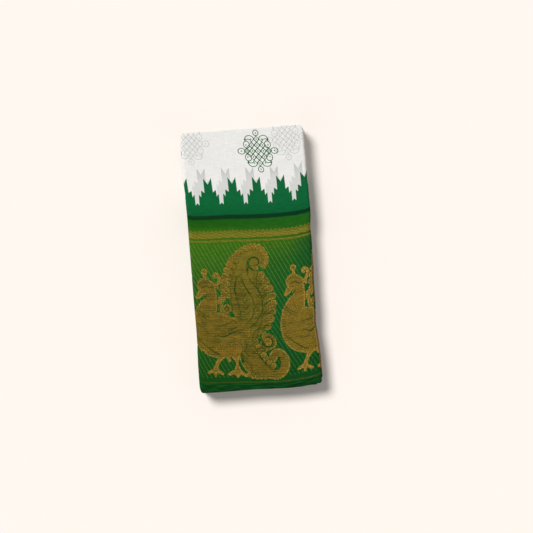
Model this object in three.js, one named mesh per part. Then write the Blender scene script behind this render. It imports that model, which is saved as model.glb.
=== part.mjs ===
import * as THREE from 'three';

// A cotton saree folded into a flat packet, lying with its front up.
// X runs across the packet, Y along it from the selvedges to the folded end, Z up from the surface.
// The cloth is folded in four across its width and in sixteen along its length. That strip is folded
// in three like a letter: the underside, the hidden middle stretch, and the front on top.

// Driving dimensions, in millimetres
const PACKET = { width: 137, length: 289, height: 30 };
const STRETCHES = 3;
const BUNDLES_IN_STRETCH = 4;
const WALL = 1.2;
const PLY_WALL = 1.0;
const SEAM_GAP = 0.3;
const TURN_EASE = 0.15;
const CORNER_RADIUS = 4;

// Worked out from the packet
const HALF_WIDTH = PACKET.width / 2;
const HALF_LENGTH = PACKET.length / 2;
const STRETCH_HEIGHT = PACKET.height / STRETCHES;
const BUNDLE_HEIGHT = STRETCH_HEIGHT / BUNDLES_IN_STRETCH;

// How far the two sides stand out of the plain rectangle, along the length
const SIDE_OUTLINE = [
  { y: -146, left: 0.6, right: 1.2 },
  { y: -116, left: 0.8, right: 1.1 },
  { y: -92, left: 0.0, right: -0.6 },
  { y: -74, left: -0.3, right: -2.0 },
  { y: -54, left: 0.0, right: -0.7 },
  { y: -10, left: 0.4, right: 0.1 },
  { y: 30, left: 0.4, right: 0.1 },
  { y: 58, left: 0.5, right: 1.3 },
  { y: 106, left: 2.0, right: 0.5 },
  { y: 146, left: 0.8, right: 0.2 },
];

// How far the ends stand out of it, across the width: the top ply's selvedge, the second ply's, and
// the folded end
const END_OUTLINE = [
  { x: -69, top: 1.5, second: 0.3, folded: 0.9 },
  { x: -20, top: 1.5, second: 0.5, folded: 1.3 },
  { x: 15, top: 2.0, second: 1.2, folded: 1.2 },
  { x: 42, top: -1.1, second: 2.1, folded: 1.3 },
  { x: 69, top: -1.8, second: 0.8, folded: 1.3 },
];

// Height of the packet across its width, as a share of its full height at the right spine
const HEIGHT_ACROSS = [
  { x: -69, share: 0.965 },
  { x: -40, share: 0.972 },
  { x: 10, share: 0.985 },
  { x: 50, share: 1.0 },
  { x: 69, share: 1.0 },
];

// The turns of the strip, seen from the selvedge end: the side they are on, the height of their
// middle, half their height, how far they bulge, how squarely they are pressed, and how far they
// stand back from the side
const TURNS = {
  front: { side: -1, middle: 25, half: 5, reach: 4.5, squareness: 2.6, back: 0.0 },
  right: { side: 1, middle: 15, half: 15, reach: 5.5, squareness: 4.2, back: 0.0 },
  left: { side: -1, middle: 10, half: 10, reach: 6.0, squareness: 2.8, back: 1.2 },
};
const TUCK = 5;

// Grooves between the hidden layers at the two ends, and how far those layers stand back there
const LAYERS = { stretchGroove: 2.2, bundleGroove: 0.9, back: 0.6, crest: 0.3 };

// The second ply's strip along the near end
const SECOND_PLY = { left: -60, right: 61, depth: 12 };

// Facets
const STATIONS_ALONG = 14;
const TURN_STEPS = 12;
const FLAT_STEPS = 12;
const RING_STEPS = { across: 12, along: STATIONS_ALONG };
const CAP_SCALES = [0.2, 0.5, 0.8];

const mix = (low, high, share) => low + (high - low) * share;

// A column's value between the two rows around a place, eased so that it has no kinks
function valueAt(rows, key, place, column) {
  const next = Math.max(1, rows.findIndex((row) => row[key] >= place));
  const from = rows[next - 1];
  const to = rows[next];
  const share = THREE.MathUtils.smoothstep(place, from[key], to[key]);
  return mix(from[column], to[column], share);
}

// How far a rounded corner of the outline draws the ends in
function cornerInset(x) {
  const past = Math.min(Math.max(Math.abs(x) - (HALF_WIDTH - CORNER_RADIUS), 0), CORNER_RADIUS);
  return CORNER_RADIUS - Math.sqrt(CORNER_RADIUS ** 2 - past ** 2);
}

const topPlyEnds = {
  full: true,
  near: (x) => -HALF_LENGTH - valueAt(END_OUTLINE, 'x', x, 'top') + cornerInset(x),
  far: (x) => HALF_LENGTH + valueAt(END_OUTLINE, 'x', x, 'folded') - cornerInset(x),
};

const secondPlyEnds = {
  near: (x) => -HALF_LENGTH - valueAt(END_OUTLINE, 'x', x, 'second') + cornerInset(x),
  far: (x) => secondPlyEnds.near(x) + SECOND_PLY.depth,
};

// How far a side stands out, straight from one station along the packet to the next. Every piece
// keeps to these stretches, so the gaps between them stay even.
function sideAt(y, column) {
  const length = PACKET.length / STATIONS_ALONG;
  const station = THREE.MathUtils.clamp(Math.floor((y + HALF_LENGTH) / length), 0, STATIONS_ALONG - 1);
  const from = station * length - HALF_LENGTH;
  const values = [from, from + length].map((place) => valueAt(SIDE_OUTLINE, 'y', place, column));
  return mix(values[0], values[1], (y - from) / length);
}

// A point of the packet: x and z on the plain section, and its share of the way from end to end.
// Between its ends, a piece that runs the whole length has its stations where the packet has them.
function place(x, share, z, ends) {
  const atStation = ends.full && share > 0 && share < 1;
  const y = atStation ? (share - 0.5) * PACKET.length : mix(ends.near(x), ends.far(x), share);
  const across = x / PACKET.width + 0.5;
  const outward = mix(-sideAt(y, 'left'), sideAt(y, 'right'), across);
  return [x + outward, y, z * valueAt(HEIGHT_ACROSS, 'x', x, 'share')];
}

function geometryOf(points, faces) {
  const geometry = new THREE.BufferGeometry();
  geometry.setAttribute('position', new THREE.Float32BufferAttribute(points.flat(), 3));
  geometry.setIndex(faces);
  geometry.computeVertexNormals();
  return geometry;
}

const addQuad = (faces, a, b, c, d) => faces.push(a, b, c, a, c, d);

// A wall of cloth along a path of the section. The path's points carry their outward normals, and
// the inner face lies one wall inside the outer one.
function wallGeometry(path, { wall = WALL, ends = topPlyEnds, stations = STATIONS_ALONG } = {}) {
  const rows = path.length;
  const columns = stations + 1;
  const points = [];
  for (const depth of [0, wall]) {
    for (const { x, z, nx, nz } of path) {
      for (let column = 0; column < columns; column += 1) {
        points.push(place(x - nx * depth, column / stations, z - nz * depth, ends));
      }
    }
  }
  const outer = (row, column) => row * columns + column;
  const inner = (row, column) => (rows + row) * columns + column;
  const faces = [];
  for (let row = 0; row < rows - 1; row += 1) {
    for (let column = 0; column < stations; column += 1) {
      addQuad(faces, outer(row, column), outer(row + 1, column),
        outer(row + 1, column + 1), outer(row, column + 1));
      addQuad(faces, inner(row, column), inner(row, column + 1),
        inner(row + 1, column + 1), inner(row + 1, column));
    }
    addQuad(faces, outer(row, 0), inner(row, 0), inner(row + 1, 0), outer(row + 1, 0));
    addQuad(faces, outer(row, stations), outer(row + 1, stations),
      inner(row + 1, stations), inner(row, stations));
  }
  for (let column = 0; column < stations; column += 1) {
    addQuad(faces, outer(0, column), outer(0, column + 1), inner(0, column + 1), inner(0, column));
    addQuad(faces, outer(rows - 1, column), inner(rows - 1, column),
      inner(rows - 1, column + 1), outer(rows - 1, column + 1));
  }
  return geometryOf(points, faces);
}

// A straight stretch of the section, from one x to another
function flatPath(fromX, toX, z, up, steps = FLAT_STEPS) {
  const path = [];
  for (let step = 0; step <= steps; step += 1) {
    path.push({ x: mix(fromX, toX, step / steps), z, nx: 0, nz: up });
  }
  return path;
}

// A turn of the strip: half a superellipse from its top to its foot
function turnPath({ side, middle, half, reach, squareness, back }) {
  const path = [];
  for (let step = 0; step <= TURN_STEPS; step += 1) {
    const angle = Math.PI * (0.5 - step / TURN_STEPS);
    const outX = Math.max(Math.cos(angle), 0) ** (2 / squareness);
    const outZ = Math.sign(Math.sin(angle)) * Math.abs(Math.sin(angle)) ** (2 / squareness);
    const slopeX = side * outX ** (squareness - 1) / reach;
    const slopeZ = Math.sign(outZ) * Math.abs(outZ) ** (squareness - 1) / half;
    const slope = Math.hypot(slopeX, slopeZ);
    path.push({
      x: side * (HALF_WIDTH - back - reach + reach * outX),
      z: middle + half * outZ,
      nx: slopeX / slope,
      nz: slopeZ / slope,
    });
  }
  return path;
}

const turnStart = ({ side, reach, back }) => side * (HALF_WIDTH - back - reach);

// The x of the hidden layers' edge inside a turn, at a height, eased in for the turn's flat facets
function insideTurn({ side, middle, half, reach, squareness, back }, z) {
  const clear = WALL + SEAM_GAP + TURN_EASE;
  const rise = Math.min(Math.abs(z - middle) / (half - clear), 1);
  const out = (1 - rise ** squareness) ** (1 / squareness);
  return side * (HALF_WIDTH - back - reach + (reach - clear) * out);
}

// The front turn and the left turn meet at the plane between the front and the middle stretch, and
// each keeps half of the seam's gap clear of it
const meetingPlane = STRETCH_HEIGHT * 2;
const trimmed = (turn, towards) => ({
  ...turn,
  half: turn.half - SEAM_GAP / 4,
  middle: turn.middle + towards * SEAM_GAP / 4,
});
const frontTurn = trimmed(TURNS.front, 1);
const leftTurn = trimmed(TURNS.left, -1);

// The stretches that show, each a wall of its own along a path of the section
const rightStart = turnStart(TURNS.right) - SEAM_GAP;
const frontPanelPath = flatPath(turnStart(TURNS.front) + SEAM_GAP, rightStart, PACKET.height, 1);
const backPanelPath = flatPath(rightStart, turnStart(TURNS.left) + SEAM_GAP, 0, -1);
const frontFoldPath = [
  { x: turnStart(TURNS.front) + TUCK, z: meetingPlane + SEAM_GAP / 2, nx: 0, nz: -1 },
  ...turnPath(frontTurn).reverse(),
];
const leftFoldPath = [
  ...turnPath(leftTurn).reverse(),
  { x: turnStart(TURNS.left) + TUCK, z: meetingPlane - SEAM_GAP / 2, nx: 0, nz: 1 },
];

// The hidden layers as rings from the underside up, drawn in at each groove of the two ends. On the
// left they leave a notch for the two tucked walls, and at the top of the near end a step for the
// second ply.
function layerRows() {
  const clear = WALL + SEAM_GAP;
  const ledge = 0.1;
  const notch = {
    low: meetingPlane - SEAM_GAP / 2 - clear,
    high: meetingPlane + SEAM_GAP / 2 + clear,
    x: Math.max(turnStart(TURNS.front), turnStart(TURNS.left)) + TUCK + SEAM_GAP,
  };
  const secondFoot = PACKET.height - clear - PLY_WALL - SEAM_GAP;
  const notchEdges = [notch.low, notch.low + ledge, notch.high - ledge, notch.high];
  const ledges = [...notchEdges, secondFoot - ledge, secondFoot];
  const heights = new Map([clear, ...ledges, PACKET.height - clear].map((z) => [z, 0]));
  for (let bundle = 1; bundle < STRETCHES * BUNDLES_IN_STRETCH; bundle += 1) {
    const foot = bundle * BUNDLE_HEIGHT;
    const groove = bundle % BUNDLES_IN_STRETCH ? LAYERS.bundleGroove : LAYERS.stretchGroove;
    heights.set(foot - BUNDLE_HEIGHT * LAYERS.crest, 0);
    heights.set(foot, groove);
    heights.set(foot + BUNDLE_HEIGHT * LAYERS.crest, 0);
  }
  return [...heights].sort((a, b) => a[0] - b[0]).map(([z, groove]) => {
    const inNotch = z > notch.low + ledge / 2 && z < notch.high - ledge / 2;
    const leftInside = insideTurn(z < meetingPlane ? leftTurn : frontTurn, z);
    return {
      z,
      left: inNotch ? notch.x : leftInside,
      right: insideTurn(TURNS.right, z),
      near: LAYERS.back + groove + (z > secondFoot - ledge / 2 ? SECOND_PLY.depth + SEAM_GAP : 0),
      far: LAYERS.back + groove,
    };
  });
}

function layerRing(row, scale) {
  const ends = {
    full: true,
    near: (x) => secondPlyEnds.near(x) + row.near,
    far: (x) => topPlyEnds.far(x) - row.far,
  };
  const ring = [];
  const put = (across, along) => {
    const x = mix(row.left, row.right, 0.5 + (across - 0.5) * scale);
    ring.push(place(x, 0.5 + (along - 0.5) * scale, row.z, ends));
  };
  const { across, along } = RING_STEPS;
  const spread = (step) => 0.5 - 0.5 * Math.cos(Math.PI * step / across);
  for (let step = 0; step <= across; step += 1) put(spread(step), 0);
  for (let step = 1; step < along; step += 1) put(1, step / along);
  for (let step = across; step >= 0; step -= 1) put(spread(step), 1);
  for (let step = along - 1; step > 0; step -= 1) put(0, step / along);
  return ring;
}

// A solid from rings stacked low to high, closed by rings that shrink to a point at each end
function layersGeometry() {
  const rows = layerRows();
  const lowest = rows[0];
  const highest = rows[rows.length - 1];
  const rings = [
    ...CAP_SCALES.map((scale) => layerRing(lowest, scale)),
    ...rows.map((row) => layerRing(row, 1)),
    ...CAP_SCALES.toReversed().map((scale) => layerRing(highest, scale)),
  ];
  const size = rings[0].length;
  const points = rings.flat();
  const lowCentre = points.push(layerRing(lowest, 0)[0]) - 1;
  const highCentre = points.push(layerRing(highest, 0)[0]) - 1;
  const faces = [];
  for (let step = 0; step < size; step += 1) {
    const next = (step + 1) % size;
    const top = (rings.length - 1) * size;
    faces.push(lowCentre, next, step);
    faces.push(highCentre, top + step, top + next);
    for (let ring = 0; ring < rings.length - 1; ring += 1) {
      const low = ring * size;
      addQuad(faces, low + step, low + next, low + size + next, low + size + step);
    }
  }
  return geometryOf(points, faces);
}

const borderCloth = { color: 0x2f6b22, roughness: 0.8, metalness: 0.0 };
const bodyCloth = { color: 0xe9e8e4, roughness: 0.85, metalness: 0.0 };

const secondPlyTop = PACKET.height - WALL - SEAM_GAP;
const pieces = [
  ['front_panel', wallGeometry(frontPanelPath), borderCloth],
  ['front_fold', wallGeometry(frontFoldPath), borderCloth],
  ['right_fold', wallGeometry(turnPath(TURNS.right)), borderCloth],
  ['back_panel', wallGeometry(backPanelPath), borderCloth],
  ['left_fold', wallGeometry(leftFoldPath), borderCloth],
  ['under_selvedge', wallGeometry(
    flatPath(SECOND_PLY.left, SECOND_PLY.right, secondPlyTop, 1),
    { wall: PLY_WALL, ends: secondPlyEnds, stations: 2 },
  ), borderCloth],
  ['folded_layers', layersGeometry(), bodyCloth],
];

// The origin is on the surface, under the middle of the packet
const box = new THREE.Box3();
for (const [, geometry] of pieces) {
  geometry.computeBoundingBox();
  box.union(geometry.boundingBox);
}
const middle = box.getCenter(new THREE.Vector3());

const saree = new THREE.Group();
for (const [name, geometry, finish] of pieces) {
  geometry.translate(-middle.x, -middle.y, 0);
  const mesh = new THREE.Mesh(geometry, new THREE.MeshStandardMaterial(finish));
  mesh.name = name;
  saree.add(mesh);
}

export default saree;
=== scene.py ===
"""A handloom cotton saree folded into a packet, seen from above on a plain pale surface.

One cloth makes every piece, so each piece below is a stretch of it: the outer cloth round the front,
the outer cloth round the back, the second ply along the selvedge and the stack of hidden layers.
"""

import functools
import math

import bpy
import numpy as np
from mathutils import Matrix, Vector


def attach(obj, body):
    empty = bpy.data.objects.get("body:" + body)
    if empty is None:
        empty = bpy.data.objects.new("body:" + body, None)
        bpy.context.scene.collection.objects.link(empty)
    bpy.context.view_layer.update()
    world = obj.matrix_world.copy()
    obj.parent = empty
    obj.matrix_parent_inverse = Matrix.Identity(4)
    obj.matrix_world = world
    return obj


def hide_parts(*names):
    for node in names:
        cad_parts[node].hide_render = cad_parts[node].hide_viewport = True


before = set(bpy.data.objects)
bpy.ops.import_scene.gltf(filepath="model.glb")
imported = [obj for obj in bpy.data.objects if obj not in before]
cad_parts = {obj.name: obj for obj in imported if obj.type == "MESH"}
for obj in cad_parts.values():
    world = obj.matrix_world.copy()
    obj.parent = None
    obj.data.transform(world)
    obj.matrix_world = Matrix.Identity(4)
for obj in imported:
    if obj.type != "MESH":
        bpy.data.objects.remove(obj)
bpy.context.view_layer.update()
MM = 0.001

# Room
# A wide sheet of cream paper, daylight from all round and one soft lamp at the upper left. The
# camera looks straight down, and the packet lies slightly turned in its view.
FRAME_WIDTH = 595
CAMERA_HEIGHT = 2200
CAMERA_PLACE = (15.99, -9.6)
CAMERA_TURN = math.radians(-4.3)
SENSOR = 36
PACKET_HEIGHT = 30

camera = bpy.data.objects.new("camera", bpy.data.cameras.new("camera"))
camera.data.sensor_width = SENSOR
camera.data.lens = SENSOR * CAMERA_HEIGHT / FRAME_WIDTH
camera.data.clip_start = 0.05
camera.data.clip_end = 50
camera.location = (CAMERA_PLACE[0] * MM, CAMERA_PLACE[1] * MM, (CAMERA_HEIGHT + PACKET_HEIGHT) * MM)
camera.rotation_euler = (0, 0, CAMERA_TURN)
bpy.context.scene.collection.objects.link(camera)
bpy.context.scene.camera = camera
bpy.context.scene.view_settings.view_transform = "Standard"

LAMP_ELEVATION = math.radians(56.3)
LAMP_HEADING = math.radians(-46.5) + CAMERA_TURN
LAMP_STRENGTH = 3.01
LAMP_SOFTNESS = math.radians(21)
LAMP_BOUNCES = 1

lamp = bpy.data.objects.new("lamp", bpy.data.lights.new("lamp", "SUN"))
lamp.data.energy = LAMP_STRENGTH
lamp.data.angle = LAMP_SOFTNESS
lamp.data.cycles.max_bounces = LAMP_BOUNCES
level = math.cos(LAMP_ELEVATION)
lamp_way = Vector(
    (level * math.cos(LAMP_HEADING), level * math.sin(LAMP_HEADING), -math.sin(LAMP_ELEVATION))
)
lamp.rotation_euler = lamp_way.to_track_quat("-Z", "Y").to_euler()
bpy.context.scene.collection.objects.link(lamp)


def dye(red, green, blue):
    """A colour as it shows, 0 to 255, turned into light: ((c + 0.055) / 1.055) to the power 2.4."""
    shown = [value / 255 for value in (red, green, blue)]
    return tuple(c / 12.92 if c < 0.04045 else ((c + 0.055) / 1.055) ** 2.4 for c in shown) + (1.0,)


class Yarn:
    """One value that runs through a finish. Sums, products and the like add their Math nodes."""

    def __init__(self, loom, socket):
        self.loom = loom
        self.socket = socket

    def __add__(self, other):
        return self.loom.sum("ADD", self, other)

    def __sub__(self, other):
        return self.loom.sum("SUBTRACT", self, other)

    def __mul__(self, other):
        return self.loom.sum("MULTIPLY", self, other)

    def __truediv__(self, other):
        return self.loom.sum("DIVIDE", self, other)

    def __radd__(self, other):
        return self.loom.sum("ADD", other, self)

    def __rsub__(self, other):
        return self.loom.sum("SUBTRACT", other, self)

    def __rmul__(self, other):
        return self.loom.sum("MULTIPLY", other, self)

    def __abs__(self):
        return self.loom.sum("ABSOLUTE", self)

    def above(self, edge, soft):
        """0 below the edge and 1 above it, by 3t² − 2t³ over a strip of twice the softness."""
        settings = {"interpolation_type": "SMOOTHSTEP"}
        if isinstance(edge, Yarn):
            return (self - edge).above(0, soft)
        return self.loom.add("ShaderNodeMapRange", settings, (self, edge - soft, edge + soft, 0.0, 1.0))

    def below(self, edge, soft):
        return 1 - self.above(edge, soft)

    def between(self, low, high, soft):
        return self.above(low, soft) * self.below(high, soft)

    def from_repeat(self, pitch, middle=0.0):
        """Distance from the middle of the nearest repeat, with its sign."""
        return self.loom.sum("WRAP", self - middle, pitch / 2, -pitch / 2)

    def power(self, exponent):
        return self.loom.sum("POWER", self, exponent)

    def sine(self):
        return self.loom.sum("SINE", self)


class Loom:
    """Sets up one material and adds its nodes: every kind but the arithmetic comes from add()."""

    def __init__(self, name):
        self.material = bpy.data.materials.new(name)
        self.material.use_nodes = True
        self.tree = self.material.node_tree
        self.shader = self.tree.nodes["Principled BSDF"]

    def add(self, kind, settings, values=(), out=0):
        """A node of one kind, with its settings or a ramp's stops, and its sockets by place or name."""
        node = self.tree.nodes.new(kind)
        for key, setting in settings.items():
            if key == "stops":
                self.set_stops(node.color_ramp, setting)
            else:
                setattr(node, key, setting)
        pairs = values.items() if isinstance(values, dict) else enumerate(values)
        for key, value in pairs:
            if isinstance(value, Yarn):
                self.tree.links.new(value.socket, node.inputs[key])
            else:
                node.inputs[key].default_value = value
        return Yarn(self, node.outputs[out])

    @staticmethod
    def set_stops(ramp, stops):
        """Gives a colour ramp its stops: rows of (place from 0 to 1, colour)."""
        while len(ramp.elements) < len(stops):
            ramp.elements.new(1.0)
        for element, (place, colour) in zip(ramp.elements, stops):
            element.position = place
            element.color = colour

    def sum(self, operation, *values):
        return self.add("ShaderNodeMath", {"operation": operation}, values)

    def least(self, *values):
        return functools.reduce(functools.partial(self.sum, "MINIMUM"), values)

    def most(self, *values):
        return functools.reduce(functools.partial(self.sum, "MAXIMUM"), values)

    def blend(self, share, first, second, way="MIX"):
        """Two colours mixed by a share. A Mix node keeps its colours in sockets 6 and 7."""
        settings = {"data_type": "RGBA", "blend_type": way}
        return self.add("ShaderNodeMix", settings, {0: share, 6: first, 7: second}, 2)

    def attribute(self, name, out=2):
        return self.add("ShaderNodeAttribute", {"attribute_name": name}, (), out)

    def split(self, vector):
        return [self.add("ShaderNodeSeparateXYZ", {}, (vector,), axis) for axis in range(3)]

    def join(self, *values):
        return self.add("ShaderNodeCombineXYZ", {}, values)

    def noise(self, vector, scale=1.0, detail=2.0, roughness=0.5):
        """Smooth noise round 0.5 over a vector already scaled to the size of its grains."""
        values = {"Vector": vector, "Scale": scale, "Detail": detail, "Roughness": roughness}
        return self.add("ShaderNodeTexNoise", {}, values)

    def cloud(self, x, y, z, detail=2.0, roughness=0.5):
        """Smooth noise round 0.5 at a place given in grains; z picks one pattern of many."""
        return self.noise(self.join(x, y, z), 1.0, detail, roughness)

    def ramp(self, value, stops, low=0.0, high=1.0):
        """A colour that runs through the stops, rows of (place, colour), with the value."""
        rows = [((place - low) / (high - low), colour) for place, colour in stops]
        return self.add("ShaderNodeValToRGB", {"stops": rows}, ((value - low) / (high - low),))

    def bump(self, strength, distance, height):
        values = {"Strength": strength, "Distance": distance, "Height": height}
        return self.add("ShaderNodeBump", {}, values)

    def finish(self, **values):
        """Sets or links the shader's sockets by name, with underscores for spaces."""
        for key, value in values.items():
            socket = self.shader.inputs[key.replace("_", " ")]
            if isinstance(value, Yarn):
                self.tree.links.new(value.socket, socket)
            else:
                socket.default_value = value


PAPER_HALF = 4.0
PAPER_GLOW = 0.155
FLECKS_PER_METRE = 9.0
CORNERS = [(-1, -1), (1, -1), (1, 1), (-1, 1)]
paper_mesh = bpy.data.meshes.new("paper")
paper_mesh.from_pydata([(x * PAPER_HALF, y * PAPER_HALF, 0) for x, y in CORNERS], [], [(0, 1, 2, 3)])
paper = bpy.data.objects.new("paper", paper_mesh)
bpy.context.scene.collection.objects.link(paper)
paper_finish = Loom("cream paper")
paper_place = paper_finish.add("ShaderNodeTexCoord", {}, (), 3)
fleck = paper_finish.noise(paper_place, FLECKS_PER_METRE)

# The white end throws light on the paper round it; painted shade darkens the paper's colour there as much
# to cancel it: 1 − d / √(d² + h²)
WHITE_END = {"middle": 97 * MM, "half_length": 49 * MM, "half_width": 69 * MM, "bounce_painted_shade": 0.06}
paper_x, paper_y, _ = paper_finish.split(paper_place)
beside = paper_finish.most(abs(paper_x) - WHITE_END["half_width"], 0.0)
beyond = paper_finish.most(abs(paper_y - WHITE_END["middle"]) - WHITE_END["half_length"], 0.0)
squared = beside * beside + beyond * beyond
bounce_painted_shade = 1 - (squared / (squared + (PACKET_HEIGHT * MM) ** 2)).power(0.5)
paper_tone = paper_finish.blend(fleck, dye(244, 236, 229), dye(245, 237, 230))
paper_finish.finish(
    Base_Color=paper_finish.blend(bounce_painted_shade * WHITE_END["bounce_painted_shade"], paper_tone, dye(0, 0, 0)),
    Roughness=1.0,
    Specular_IOR_Level=0.0,
    Emission_Color=dye(255, 247, 239),
    Emission_Strength=PAPER_GLOW,
)
paper_mesh.materials.append(paper_finish.material)

# The daylight, and how bright the sky is where the camera sees it past the paper
DAYLIGHT = 0.15
SKY_SEEN = 0.93
sky = bpy.data.worlds.new("daylight")
sky.use_nodes = True
bpy.context.scene.world = sky
sky_tree = sky.node_tree
ray = sky_tree.nodes.new("ShaderNodeLightPath")
backdrop = sky_tree.nodes["Background"]
backdrop.inputs["Color"].default_value = (1.0, 0.99, 0.97, 1.0)
strength = sky_tree.nodes.new("ShaderNodeMix")
strength.inputs[2].default_value = DAYLIGHT
strength.inputs[3].default_value = SKY_SEEN
sky_tree.links.new(ray.outputs["Is Camera Ray"], strength.inputs[0])
sky_tree.links.new(strength.outputs[0], backdrop.inputs["Strength"])

# The packet's form
# The cloth is folded in four across its width, in sixteen along its length, and that strip in three.
# These sizes are the ones in the part's source, in millimetres: X across, Y along, Z up.
WIDTH = 137
LENGTH = 289
CORNER_RADIUS = 4.4
CENTRE = (0.3, 0.4)

# How far the sides stand out of the plain rectangle: along, left, right
SIDES = [
    (-146, 0.6, 1.2),
    (-130, 0.8, 0.9),
    (-117, 0.8, 1.1),
    (-103, 0.5, 0.4),
    (-90, -0.1, -0.6),
    (-76, -0.3, -2.0),
    (-63, -0.2, -1.2),
    (-50, 0.0, -0.6),
    (-36, 0.2, -0.7),
    (-10, 0.4, 0.1),
    (17, 0.4, 0.2),
    (30, 0.4, -0.1),
    (48, 0.3, 1.3),
    (72, 0.8, 1.1),
    (104, 2.1, 0.5),
    (125, 2.0, 0.2),
    (146, 0.8, 0.2),
]

# How far the ends stand out of it: across, top ply's selvedge, second ply's selvedge, folded end
ENDS = [
    (-69, 1.4, 0.2, 0.9),
    (-45, 1.7, 0.6, 1.1),
    (-8, 1.4, 0.5, 1.4),
    (10, 2.1, 0.9, 1.3),
    (20, 2.2, 2.2, 1.2),
    (32, 0.9, 2.4, 1.2),
    (42, -1.1, 2.1, 1.3),
    (55, -1.2, 0.8, 1.4),
    (62, -1.5, 0.8, 1.4),
    (69, -1.9, 0.8, -1.2),
]

# Height as a share of the full height: across, share
HEIGHTS = [(-69, 0.965), (-40, 0.972), (10, 0.985), (50, 1.0), (69, 1.0)]

# The strip's three stretches, each with a little air over it
STRETCH = 9.8
MIDDLE_FLOOR = 10.0
TOP_FLOOR = 20.2

# Where the turns start, how far they bulge and how squarely they are pressed
NOSE = {"start": -64.0, "reach": 4.5, "squareness": 2.6}
RIGHT_TURN = {"start": 63.0, "reach": 5.5, "squareness": 6.0}
LEFT_TURN = {"start": -61.3, "reach": 6.0, "squareness": 2.8}
LEFT_GAP = 0.1
LEFT_HALF = STRETCH + LEFT_GAP


def eased(table, column, at):
    """A column of a table: from one row to the next it goes by 3t² − 2t³, and past the ends it holds."""
    rows = np.array([row[0] for row in table], float)
    values = np.array([row[column] for row in table], float)
    index = np.clip(np.searchsorted(rows, at) - 1, 0, len(rows) - 2)
    t = np.clip((at - rows[index]) / (rows[index + 1] - rows[index]), 0, 1)
    return values[index] + (values[index + 1] - values[index]) * t * t * (3 - 2 * t)


def corner_inset(x):
    """R − √(R² − p²), where p is how far x lies past the start of the corner's quarter circle."""
    past = np.clip(np.abs(x) - (WIDTH / 2 - CORNER_RADIUS), 0, CORNER_RADIUS)
    return CORNER_RADIUS - np.sqrt(CORNER_RADIUS**2 - past**2)


def laid(x, y, z):
    """A point of the packet in metres: moved out by the sides' outlines and lowered by the share of
    the height."""
    share = np.clip(x / WIDTH + 0.5, 0, 1)
    outward = share * eased(SIDES, 2, y) - (1 - share) * eased(SIDES, 1, y)
    return np.stack([x + outward + CENTRE[0], y + CENTRE[1], z * eased(HEIGHTS, 1, x)], -1) * MM


def turned(side, start, reach, squareness, middle, half, down=True):
    """Half a superellipse: x = start ± reach · cos^(2/n), z = middle ± half · sin^(2/n), from its top
    to its bottom or the other way."""
    angle = np.linspace(math.pi / 2, -math.pi / 2, 61)
    out = np.clip(np.cos(angle), 0, 1) ** (2 / squareness)
    up = np.sign(np.sin(angle)) * np.abs(np.sin(angle)) ** (2 / squareness)
    line = np.stack([start + side * reach * out, middle + half * up], -1)
    return line if down else line[::-1]


def walked(line):
    """Distance along a polyline at each of its points."""
    return np.concatenate([[0], np.cumsum(np.hypot(*np.diff(line, axis=0).T))])


def places_on(line, at, step):
    """Places on a polyline at distances along it, with its way there over a step to each side."""
    distance = walked(line)
    behind, place, ahead = (
        np.stack([np.interp(at + shift, distance, line[:, axis]) for axis in (0, 1)], -1)
        for shift in (-step, 0, step)
    )
    way = ahead - behind
    return place, way / np.maximum(np.hypot(way[:, 0], way[:, 1]), 1e-9)[:, None]


def resampled(line, at):
    """Places and left-hand normals of a polyline at distances along it."""
    place, way = places_on(line, at, 0.35)
    return place, np.stack([-way[:, 1], way[:, 0]], -1)


# Front cloth
# The saree's outermost ply: from the tuck under the top stretch it goes round the left nose, over
# the top and down round the right spine. Thin cotton, with the border along the near selvedge.
CLOTH_THICKNESS = 0.3
TUCK = 5.0
FOLD_RADIUS = 0.9
FOLD_CURL = np.array([0.4, 0.8, 1.2, 1.6, 2.0, 2.4, 2.83, 4.5])
END_REACH = 14.0
DROOP = {"depth": 0.6, "reach": 5.0}
FIGURES_TOP = 17.0
PATTERN_SHIFT = (-0.55, 1.65)

# Steps of the grid round the nose, over the top and down the spine
FRONT_STEPS = (20, 216, 32)

# How much the weft has been pulled up: across, near the folded end and border, near the selvedge
WEFT_PULL = [
    (-69, 4.2, 6.0),
    (-60, 2.6, 3.5),
    (-45, 1.9, 2.6),
    (-25, 1.4, 1.8),
    (0, 0.0, 0.0),
    (20, -0.7, -1.0),
    (35, -0.7, -0.4),
    (50, -0.2, 1.0),
    (60, 1.2, 2.5),
    (69, 3.2, 6.0),
]

# Between which heights the pull goes from one column to the other, and where it starts to fade
PULL = {"selvedge": -133, "border": 29, "side": 69, "fade": 30}

# Creases and soft troughs, in the cloth's own measures: from, to, half width, depth
FRONT_CREASES = [
    ((-22, 141), (-17, 131), 0.8, 0.30),
    ((24, -127.0), (50, -125.4), 0.75, 0.35),
    ((-10, -142.6), (64, -140.6), 0.9, 0.35),
    ((70.6, -168), (69.8, 44), 4.2, 2.30),
    ((-60, 118), (-30, 96), 5.0, 0.25),
    ((20, 88), (58, 104), 5.5, 0.30),
    ((-66, 30), (-40, 24), 3.0, 0.25),
    ((44, 8), (66, 14), 2.5, 0.30),
    ((40, -46), (62, -42), 3.4, 0.14),
    ((48, -92), (67, -96), 2.6, 0.25),
    ((-67, -64), (-50, -60), 2.2, 0.20),
    ((-40, -138), (-12, -136), 1.6, 0.20),
    ((66, -120), (92, -104), 1.6, 0.35),
    ((68, -60), (90, -66), 1.8, 0.30),
    ((70, 6), (94, -4), 1.5, 0.40),
    ((68, 62), (90, 70), 2.0, 0.35),
    ((72, 110), (96, 118), 1.6, 0.35),
    ((-78, -96), (-66, -88), 1.4, 0.30),
    ((-80, -10), (-66, -16), 1.5, 0.30),
    ((-79, 74), (-66, 80), 1.5, 0.30),
]

# Slow waves of the cloth: size, length along, length across, phase
SLOW_WAVES = [(0.10, 17, 43, 0.0), (0.08, 9.5, -31, 1.1), (0.07, 26, -15, 2.3)]


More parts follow.
